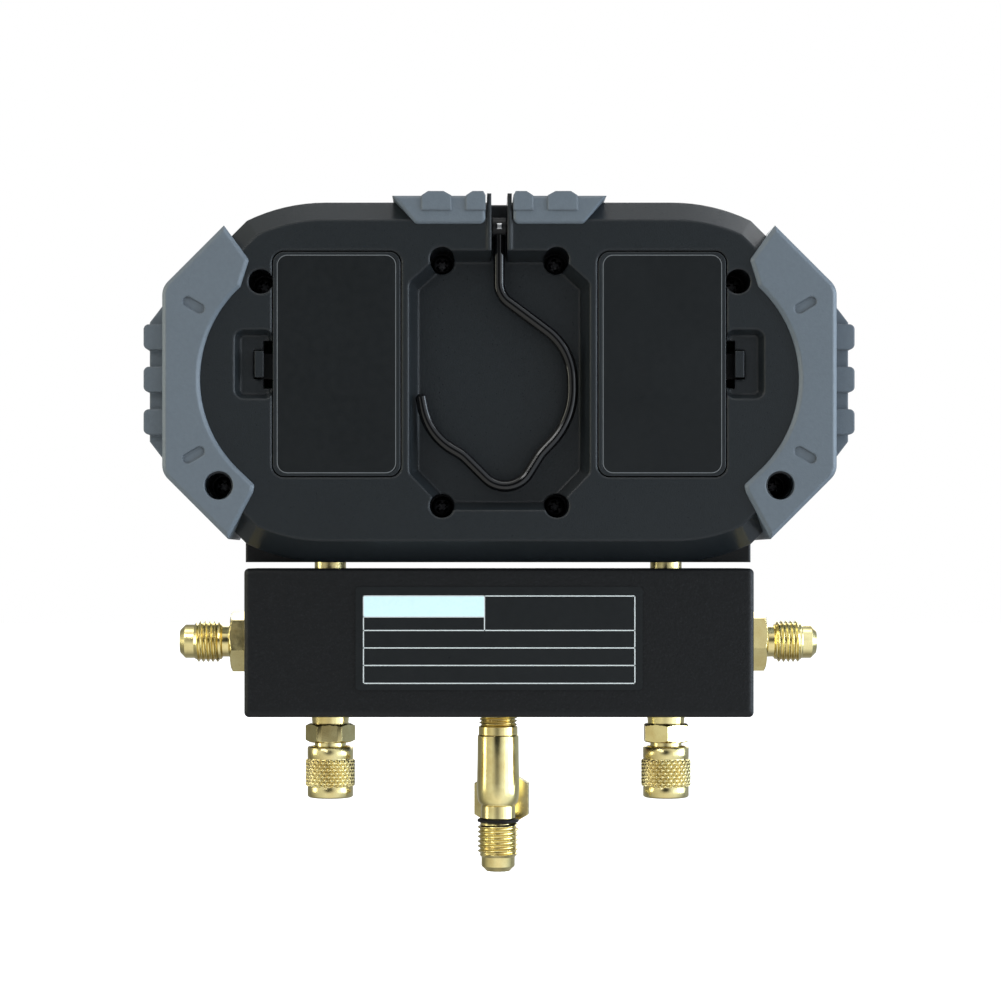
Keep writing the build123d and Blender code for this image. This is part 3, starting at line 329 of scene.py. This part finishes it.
def clean(bm):
    """Merge points nearer than 2 micrometres and drop faces without area."""
    bmesh.ops.remove_doubles(bm, verts=bm.verts, dist=2e-6)
    bmesh.ops.dissolve_degenerate(bm, dist=1e-6, edges=bm.edges)


FLARE = dict(major=5.555, minor=4.85, pitch=1.27)
NOSE = 3.8              # from the end of the thread to the tip
NECK_R = 4.15


def flare(bm, place, start, relief, thread):
    """Relief, thread and coned nose of a flare port, with its bore."""
    a = start + relief
    b = a + thread
    tip = b + NOSE
    rows = []
    if relief:
        rows += [(start, 4.9), (start + 0.25, 4.4), (start + 0.6, NECK_R), (a - 0.3, NECK_R), (a - 0.1, 4.5)]
    rows += [(a, 4.7), (a + 0.4, 4.8), (b - 0.3, 4.6), (b, 4.5)]
    rows += [(tip - 1.5, 4.5), (tip - 1.3, 4.42), (tip - 0.15, 3.25), (tip, 3.1), (tip, 2.75)]
    rows += [(tip - 0.5, 2.3), (tip - 1.0, 1.85), (tip - 4.0, 1.8), (tip - 4.0, 0.02)]
    shaped(bm, rows, 96, place)
    helix(bm, place, a, b, end_low=4.6, end_high=4.55, **FLARE)


# ---------------------------------------------------------------- CAD pieces kept as they are
for name in ("front_shell", "rear_shell"):
    paint(name, "housing")
paint("manifold_block", "block")
paint("label_plate", "label")
paint("hook_wire", "hook")
paint("hook_barrel", "barrel")
paint("hook_pin", "steel")
paint("battery_contacts", "switch")
paint("button_switches", "switch")
paint("housing_screws", "screw")
paint("service_seal", "seal")
paint("service_nipple", "brass")
paint("service_tee", "brass")
paint("branch_port", "brass")
paint("sight_glass_ring", "brass_bright")
paint("sight_glass", "sight")
for side in SIDES:
    for kind, key in (
        ("side_bumper", "bumper"), ("top_bumper", "bumper"), ("battery_cover", "cover"),
        ("battery", "jacket"), ("face_plate", "face"), ("bezel", "bezel"), ("lens", "lens"), ("lcd", "lcd"),
        ("circuit_board", "board"), ("power_button", "key"), ("unit_button", "key"), ("zero_button", "key"),
        ("gauge_stem", "brass"), ("pressure_sensor", "steel"), ("side_port", "brass"),
        ("bottom_port", "brass"), ("port_cap", "brass"), ("cap_seal", "seal"),
        ("valve_bonnet", "brass_bright"), ("valve_piston", "brass"), ("valve_spindle", "brass"),
        ("valve_knob", f"knob_{side}"),
    ):
        paint(f"{side}_{kind}", key)
for ob in nodes.values():
    ob.data.shade_smooth()
    ob.data.set_sharp_from_angle(angle=radians(30))

# ---------------------------------------------------------------- side ports
SIDE_TURN = {"low": 11, "high": 44}     # how far each port's hexagon is turned, in degrees
SIDE_HEX = 4.5                          # thickness of that hexagon
for side, s in SIDES.items():
    bm = bmesh.new()
    place = placing((s * BLOCK_END_X, 0, PORT_Z), (s, 0, 0), radians(SIDE_TURN[side]))
    shaped(bm, [(0, 0.02)] + hex_rows(0, SIDE_HEX, 14.3, 1.0) + [(SIDE_HEX, 4.9)], 96, place)
    flare(bm, place, SIDE_HEX, 2.5, 7.3)
    clean(bm)
    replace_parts(finish_mesh(bm, f"{side}_side_port_turned", *TURNED), f"{side}_side_port")

# ---------------------------------------------------------------- service tee, nipple, branch port
TEE_TOP = 32.5
NIPPLE_NECK = 34.85     # where the nipple's collar ends and its thread starts
SHOULDER = 20.0         # where the tee's body starts to round off downwards
THREAD_TOP = 9.2
BOSS_Z = 14.6
BRANCH_HEX = 9.0        # from the tee's axis to the branch port's hexagon
base = placing((0, 0, 0), (0, 0, 1))
bm = bmesh.new()
rows = [(TEE_TOP, 2.0), (TEE_TOP, 5.1), (32.62, 5.22), (34.72, 5.22), (NIPPLE_NECK, 5.05)]
rows += [(NIPPLE_NECK, 4.5), (BLOCK_BOTTOM_Z, 4.5), (BLOCK_BOTTOM_Z, 2.0)]
shaped(bm, rows, 96, base)
helix(bm, base, NIPPLE_NECK, BLOCK_BOTTOM_Z, major=5.1, minor=4.5, pitch=0.94, end_low=4.7, end_high=5.1)
clean(bm)
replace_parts(finish_mesh(bm, "service_nipple_turned", *TURNED), "service_nipple")

bm = bmesh.new()
rows = [(TEE_TOP, 2.0), (TEE_TOP, 5.3), (32.35, 5.45), (32.1, 5.5), (26.0, 5.55), (SHOULDER, 5.66)]
rows += [(SHOULDER - 5.8 * u / 10, 4.9 + 0.76 * sqrt(1 - (u / 10) ** 2.5)) for u in range(1, 11)]
rows += [(14.1, 4.5), (13.8, 4.35), (13.6, 4.55), (10.4, 4.55), (10.15, 4.4), (9.7, 4.3), (THREAD_TOP, 4.6)]
shaped(bm, rows, 128, base)
flare(bm, placing((0, 0, THREAD_TOP), (0, 0, -1)), 0.0, 0.0, THREAD_TOP)
boss = placing((0, 0, BOSS_Z), (sin(radians(6)), cos(radians(6)), 0))
shaped(bm, [(3.0, 4.3), (BRANCH_HEX, 4.3)], 64, boss)
clean(bm)
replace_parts(finish_mesh(bm, "service_tee_turned", *TURNED), "service_tee")

bm = bmesh.new()
rows = [(BRANCH_HEX, 2.0)] + hex_rows(BRANCH_HEX, 5.0, 14.6, 0.35) + [(BRANCH_HEX + 5.0, 4.9)]
shaped(bm, rows, 96, boss)
flare(bm, boss, BRANCH_HEX + 5.0, 2.0, 8.0)
clean(bm)
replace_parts(finish_mesh(bm, "branch_port_turned", *TURNED), "branch_port")

# ---------------------------------------------------------------- bottom ports and knurled caps
BOTTOM_TURN = {"low": 0, "high": 30}
CAP = 8.5               # from the block's bottom face to the cap's open end
KNURL_START, KNURL_END = CAP + 3.3, CAP + 10.7
KNURL_TOP, KNURL_ROOT = 6.6, 6.05
KNURL_COUNT = 26        # diamonds round the cap
KNURL_PITCH = 1.85
KNURL_STEPS = 56


def diamond(z):
    def r(a):
        u = KNURL_COUNT * a / tau
        w = (z - KNURL_START) / KNURL_PITCH
        h = min(abs((u + w) % 1 - 0.5), abs((u - w) % 1 - 0.5)) * 2
        ends = min(1.0, (z - KNURL_START) / 0.3, (KNURL_END - z) / 0.3)
        return KNURL_ROOT + (KNURL_TOP - KNURL_ROOT) * max(0.0, ends) * min(1.0, 1.7 * h)
    return r


for side, s in SIDES.items():
    place = placing((s * GAUGE_X, 0, BLOCK_BOTTOM_Z), (0, 0, -1), radians(BOTTOM_TURN[side]))
    bm = bmesh.new()
    rows = [(0, 0.02), (0, 5.05), (2.4, 4.85)] + hex_rows(2.4, 5.0, 11.5, 1.15)
    rows += [(7.4, 4.2), (9.1, 4.2), (9.1, 5.1), (16.2, 5.1), (16.2, 4.5)]
    rows += [(19.5, 4.5), (20.9, 3.1), (20.9, 0.02)]
    shaped(bm, rows, 96, place)
    clean(bm)
    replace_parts(finish_mesh(bm, f"{side}_bottom_port_turned", *TURNED), f"{side}_bottom_port")
    bm = bmesh.new()
    rows = [(CAP + 12.4, 0.02), (CAP + 12.4, 5.2), (CAP, 5.2), (CAP, 5.8), (CAP + 0.3, 6.12)]
    rows += [(CAP + 3.0, 6.12), (CAP + 3.1, KNURL_ROOT), (KNURL_START, KNURL_ROOT)]
    for k in range(1, KNURL_STEPS):
        z = KNURL_START + (KNURL_END - KNURL_START) * k / KNURL_STEPS
        rows.append((z, diamond(z)))
    rows += [(KNURL_END, KNURL_ROOT), (CAP + 10.85, KNURL_ROOT), (CAP + 10.95, 6.1), (CAP + 13.2, 6.1)]
    rows += [(CAP + 13.6, 5.7), (CAP + 13.7, 5.2), (CAP + 13.55, 2.2), (CAP + 13.6, 0.02)]
    shaped(bm, rows, 300, place)
    clean(bm)
    cap = finish_mesh(bm, f"{side}_port_cap_knurled", "brass", f"{side}_cap", "brass", 50)
    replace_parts(cap, f"{side}_port_cap")

# ---------------------------------------------------------------- label: frame, header cell and row lines
def bar(bm, x0, z0, x1, z1, y0, y1):
    outline = ((x0, z0), (x1, z0), (x1, z1), (x0, z1))
    a, b = [[bm.verts.new(Vector((x, y, z)) * MM) for x, z in outline] for y in (y0, y1)]
    bm.faces.new(a)
    bm.faces.new(list(reversed(b)))
    for k in range(4):
        bm.faces.new((a[k], b[k], b[(k + 1) % 4], a[(k + 1) % 4]))


INK = (LABEL_Y - 0.03, LABEL_Y)         # outer and inner face of the ink
LINE = 0.28                             # width of a line
LEFT, RIGHT, TOP, BOTTOM = -35.5696, 35.60852, 69.92385, 46.82493
HEAD_END = -3.9523                      # right edge of the header cell
HEAD_LOW = 64.17525
ROWS = (60.6477, 56.07495, 51.5022)     # lower edges of the lines between the rows
ink = bmesh.new()
for x0, z0, x1, z1 in (
    (LEFT, TOP - LINE, RIGHT, TOP), (LEFT, BOTTOM, RIGHT, BOTTOM + LINE),
    (LEFT, BOTTOM, LEFT + LINE, TOP), (RIGHT - LINE, BOTTOM, RIGHT, TOP),
    (HEAD_END, ROWS[0], HEAD_END + LINE, TOP), (LEFT, HEAD_LOW, HEAD_END, HEAD_LOW + LINE),
    *((LEFT, z, RIGHT, z + LINE) for z in ROWS),
):
    bar(ink, x0, z0, x1, z1, *INK)
finish_mesh(ink, "label_lines", "ink", "housing", "label_film")
head = bmesh.new()
bar(head, LEFT + LINE, HEAD_LOW + LINE, HEAD_END, TOP - LINE, *INK)
finish_mesh(head, "label_header_cell", "header", "housing", "label_film")

# ---------------------------------------------------------------- bare labels on the battery covers, ringed by a painted edge highlight
def rounded(x0, z0, x1, z1, r, steps=8):
    points = []
    corners = ((x1 - r, z1 - r, 0), (x0 + r, z1 - r, 90), (x0 + r, z0 + r, 180), (x1 - r, z0 + r, 270))
    for cx, cz, a0 in corners:
        for k in range(steps + 1):
            a = radians(a0 + 90 * k / steps)
            points.append((cx + r * cos(a), cz + r * sin(a)))
    return points


def sheet(bm, outer, inner, y0, y1):
    """Flat ring between two outlines, or a filled plate when there is no inner one."""
    def loop(points, y):
        return [bm.verts.new(Vector((x, y, z)) * MM) for x, z in points]

    a, b = loop(outer, y0), loop(outer, y1)
    n = len(a)
    walls = [(a, b)]
    if inner:
        c, d = loop(inner, y0), loop(inner, y1)
        walls += [(d, c), (c, a), (b, d)]
    else:
        bm.faces.new(a)
        bm.faces.new(b)
    for u, v in walls:
        for k in range(n):
            bm.faces.new((u[k], u[(k + 1) % n], v[(k + 1) % n], v[k]))


FILM_X, FILM_Z, FILM_ROUND = (26.9, 57.6), (101.8, 158.2), 2.6
FILM_BACK = COVER_Y + 0.4


def film_outline(x0, x1, grow):
    """The label's outline, moved outwards by grow."""
    low, high = FILM_Z
    return rounded(x0 - grow, low - grow, x1 + grow, high + grow, FILM_ROUND + grow)


for side, s in SIDES.items():
    x0, x1 = sorted(s * x for x in FILM_X)
    film = bmesh.new()
    sheet(film, film_outline(x0, x1, 0), None, COVER_Y - 0.03, FILM_BACK)
    finish_mesh(film, f"{side}_cover_label", "label", f"{side}_cover", "label_film")
    # a lighter ring round the label: a painted highlight on the film's edge
    line = bmesh.new()
    sheet(line, film_outline(x0, x1, 0.12), film_outline(x0, x1, -0.1), COVER_Y - 0.05, FILM_BACK)
    finish_mesh(line, f"{side}_cover_label_edge", "edge_highlight", f"{side}_cover", "label_film")

# ---------------------------------------------------------------- cross-head screws in the wells
def cross_sink(x, y):
    """Depth of the cross recess at a place on a screw head."""
    across = min(abs(x), abs(y))
    along = max(abs(x), abs(y))
    return 1.3 * max(0.0, min(1.0, (0.62 - across) / 0.18)) * max(0.0, min(1.0, (1.75 - along) / 0.7))


SCREWS = ((14.9, 31.4), (14.9, -32.5), (61.9, 25.6), (72.7, -27.3))     # x and height over HOUSING_Z
HEAD_Y = -4.5           # underside of the heads
HEAD_R, HEAD_TOP_R, HEAD_RIM = 2.75, 2.72, 1.2
SEG, DOME_RINGS = 48, 33
heads = bmesh.new()
for x, z in SCREWS:
    for sign in (1, -1):
        place = placing((sign * x, HEAD_Y, HOUSING_Z + z), (0, -1, 0), radians(17 * x + 30 * sign))
        shank = [(-12, 0.02), (-12, 1.5), (0, 1.5), (0, HEAD_R), (HEAD_RIM, HEAD_TOP_R)]
        shaped(heads, shank, SEG, place)
        last = None
        for i in range(DOME_RINGS + 1):
            r = HEAD_TOP_R * (1 - i / DOME_RINGS) + 0.02
            ring = []
            for k in range(SEG):
                x1, y1 = r * cos(tau * k / SEG), r * sin(tau * k / SEG)
                h = HEAD_RIM + 0.95 * sqrt(max(0.0, 1 - (r / HEAD_R) ** 2)) - cross_sink(x1, y1)
                ring.append(heads.verts.new(place @ Vector((x1, y1, h))))
            if last:
                for k in range(SEG):
                    heads.faces.new((last[k], last[(k + 1) % SEG], ring[(k + 1) % SEG], ring[k]))
            last = ring
crossed = finish_mesh(heads, "housing_screws_crossed", "screw", "housing", "screw_steel", 30)
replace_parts(crossed, "housing_screws")

# ---------------------------------------------------------------- seven-segment readings on the displays
SEGMENTS = {"0": "abcdef", "2": "abged", "5": "afgcd"}


def digit(bm, char, x, z, w, h, t, ys):
    """One character, its top left at x, z as seen from the front, where -X is to the right."""
    mid = h / 2
    runs = {"a": (0, 0, w, 0), "g": (0, mid, w, mid), "d": (0, h, w, h),
            "f": (0, 0, 0, mid), "b": (w, 0, w, mid), "e": (0, mid, 0, h), "c": (w, mid, w, h)}
    gap = 0.55 * t
    tip = gap + t / 2
    for key in SEGMENTS[char]:
        ax, az, bx, bz = runs[key]
        if az == bz:
            pts = ((ax + gap, az), (ax + tip, az - t / 2), (bx - tip, az - t / 2),
                   (bx - gap, az), (bx - tip, az + t / 2), (ax + tip, az + t / 2))
        else:
            pts = ((ax, az + gap), (ax + t / 2, az + tip), (ax + t / 2, bz - tip),
                   (ax, bz - gap), (ax - t / 2, bz - tip), (ax - t / 2, az + tip))
        sheet(bm, [(x - u + 0.12 * (v - h), z - v) for u, v in pts], None, *ys)


BARS, BAR_PITCH, BAR_W, BAR_Z = 14, 1.7, 1.2, 121.7
lcd = nodes["low_lcd"]
lcd_y = max((lcd.matrix_world @ v.co).y for v in lcd.data.vertices) / MM
ys = (lcd_y - 0.02, lcd_y + 0.03)
for side, s in SIDES.items():
    ink = bmesh.new()
    mid = s * GAUGE_X
    for k, char in enumerate("00"):
        digit(ink, char, mid + 7.6 - 9.2 * k, 139.6, 5.4, 10.6, 1.3, ys)
    sheet(ink, rounded(mid - 0.3, 128.4, mid + 0.9, 129.6, 0.3), None, *ys)
    for k, char in enumerate("25"):
        digit(ink, char, mid + 17.6 - 3.6 * k, 125.6, 2.1, 3.9, 0.55, ys)
    for k in range(BARS):
        x = mid + 4.6 - BAR_PITCH * k
        sheet(ink, rounded(x, BAR_Z, x + BAR_W, BAR_Z + 0.7 + 0.26 * k, 0.1), None, *ys)
    finish_mesh(ink, f"{side}_lcd_reading", "digit", "housing", "lcd_glass")

# ---------------------------------------------------------------- camera, light, floor
cam = bpy.data.cameras.new("camera")
cam.sensor_width = 36
cam.lens = 101
cam.shift_x = 0.0455
cam.shift_y = 0.0594
cam.clip_start, cam.clip_end = 0.01, 20
eye = bpy.data.objects.new("camera", cam)
eye.location = (-0.01153, -0.750, 0.0792)
eye.rotation_euler = (pi / 2, 0, 0)
scene.collection.objects.link(eye)
scene.camera = eye

floor = bmesh.new()
bmesh.ops.create_grid(floor, x_segments=8, y_segments=8, size=8.0)
bmesh.ops.translate(floor, verts=floor.verts, vec=(0, 0, FLOOR_Z))
me = bpy.data.meshes.new("floor")
floor.to_mesh(me)
floor.free()
plane = bpy.data.objects.new("floor", me)
scene.collection.objects.link(plane)
plane.visible_glossy = False


def add(tree, kind, **settings):
    node = tree.nodes.new(kind)
    for key, value in settings.items():
        setattr(node, key, value)
    return node


def seen_directly(tree):
    """1 for camera and transmitted rays and 0 for the rest; glossy rays aren't among them."""
    path = add(tree, "ShaderNodeLightPath")
    either = add(tree, "ShaderNodeMath", operation="MAXIMUM")
    tree.links.new(path.outputs["Is Camera Ray"], either.inputs[0])
    tree.links.new(path.outputs["Is Transmission Ray"], either.inputs[1])
    return either.outputs[0]


fm = Mat("floor_pale", (0.82, 0.82, 0.82), 0.9)
reach = add(fm.t, "ShaderNodeVectorMath", operation="LENGTH")
fm.link(fm.at, reach.inputs[0])
far = fm.math("MULTIPLY_ADD", reach.outputs["Value"], 0.9, 0.10, clamp=True)
fm.b.inputs["Emission Color"].default_value = (1, 1, 1, 1)
fm.link(fm.math("MULTIPLY", seen_directly(fm.t), far), fm.b.inputs["Emission Strength"])
me.materials.append(fm.out(fm.mix(fm.noise(3, 2), (0.80, 0.80, 0.80), (0.84, 0.84, 0.84))))

# the studio as the object sees it: dark towards the front, bright round that, cooler to the right
DARK_TOWARDS = (-0.10, -1.0, 0.24)
world = bpy.data.worlds.new("studio")
world.use_nodes = True
scene.world = world
wt = world.node_tree
coord = add(wt, "ShaderNodeTexCoord").outputs["Generated"]
toward = add(wt, "ShaderNodeVectorMath", operation="DOT_PRODUCT")
toward.inputs[1].default_value = Vector(DARK_TOWARDS).normalized()
wt.links.new(coord, toward.inputs[0])
angle = add(wt, "ShaderNodeMath", operation="ARCCOSINE")
wt.links.new(toward.outputs["Value"], angle.inputs[0])
share = add(wt, "ShaderNodeMath", operation="DIVIDE")
share.inputs[1].default_value = pi
wt.links.new(angle.outputs[0], share.inputs[0])
studio = colour_ramp(wt, share.outputs[0], (
    (0.0, (0.02, 0.023, 0.026)), (0.075, (0.035, 0.038, 0.041)),
    (0.12, (0.60, 0.61, 0.62)), (0.20, (1.15, 1.15, 1.15)), (0.40, (1.05, 1.05, 1.05)),
    (0.54, (0.60, 0.61, 0.62)), (0.64, (0.30, 0.31, 0.32)), (1.0, (0.50, 0.51, 0.52)),
))
split = add(wt, "ShaderNodeSeparateXYZ")
wt.links.new(coord, split.inputs[0])
sideways = add(wt, "ShaderNodeMath", operation="MULTIPLY_ADD")
sideways.inputs[1].default_value = 0.5
sideways.inputs[2].default_value = 0.5
wt.links.new(split.outputs[0], sideways.inputs[0])
tint = colour_ramp(wt, sideways.outputs[0], (
    (0.0, (0.62, 0.62, 0.54)), (0.5, (1.0, 1.0, 1.0)), (1.0, (1.02, 1.14, 1.30)),
))
tinted = add(wt, "ShaderNodeMix", data_type="RGBA", blend_type="MULTIPLY")
tinted.inputs[0].default_value = 1.0
wt.links.new(studio, tinted.inputs[6])
wt.links.new(tint, tinted.inputs[7])
mixer = add(wt, "ShaderNodeMix", data_type="RGBA")
mixer.inputs[7].default_value = (1, 1, 1, 1)
wt.links.new(seen_directly(wt), mixer.inputs[0])
wt.links.new(tinted.outputs[2], mixer.inputs[6])
background = wt.nodes["Background"]
background.inputs["Strength"].default_value = 1.0
wt.links.new(mixer.outputs[2], background.inputs["Color"])


def lamp(name, place, target, size, power, color=(1, 1, 1)):
    data = bpy.data.lights.new(name, "AREA")
    data.shape = "RECTANGLE"
    data.size, data.size_y = size
    data.energy = power
    data.color = color
    ob = bpy.data.objects.new(name, data)
    ob.location = place
    ob.rotation_euler = (Vector(target) - Vector(place)).to_track_quat("-Z", "Y").to_euler()
    scene.collection.objects.link(ob)


lamp("key", (-0.75, -0.85, 0.85), (0, 0, 0.1), (0.36, 0.36), 2.6)
lamp("spark", (-0.42, -0.98, 0.52), (0, 0, 0.1), (0.16, 0.16), 0.7)
lamp("fill", (0.85, -0.70, 0.05), (0, 0, 0.08), (0.5, 0.5), 1.2, (0.90, 0.96, 1.0))
lamp("top", (0.0, -0.15, 1.0), (0, 0, 0.1), (1.2, 0.35), 2.2)
lamp("panel_right", (1.05, -0.13, 0.22), (0, 0, 0.1), (0.6, 0.8), 9.0, (0.72, 0.86, 1.0))
lamp("strip_right", (0.95, -0.45, 0.30), (0, 0, 0.1), (0.045, 0.9), 2.2, (0.88, 0.94, 1.0))
lamp("panel_left", (-1.05, -0.13, 0.30), (0, 0, 0.1), (0.4, 0.8), 4.0, (1.0, 0.97, 0.78))
lamp("back", (0.3, 1.0, 0.6), (0, 0, 0.1), (1.0, 0.8), 6)
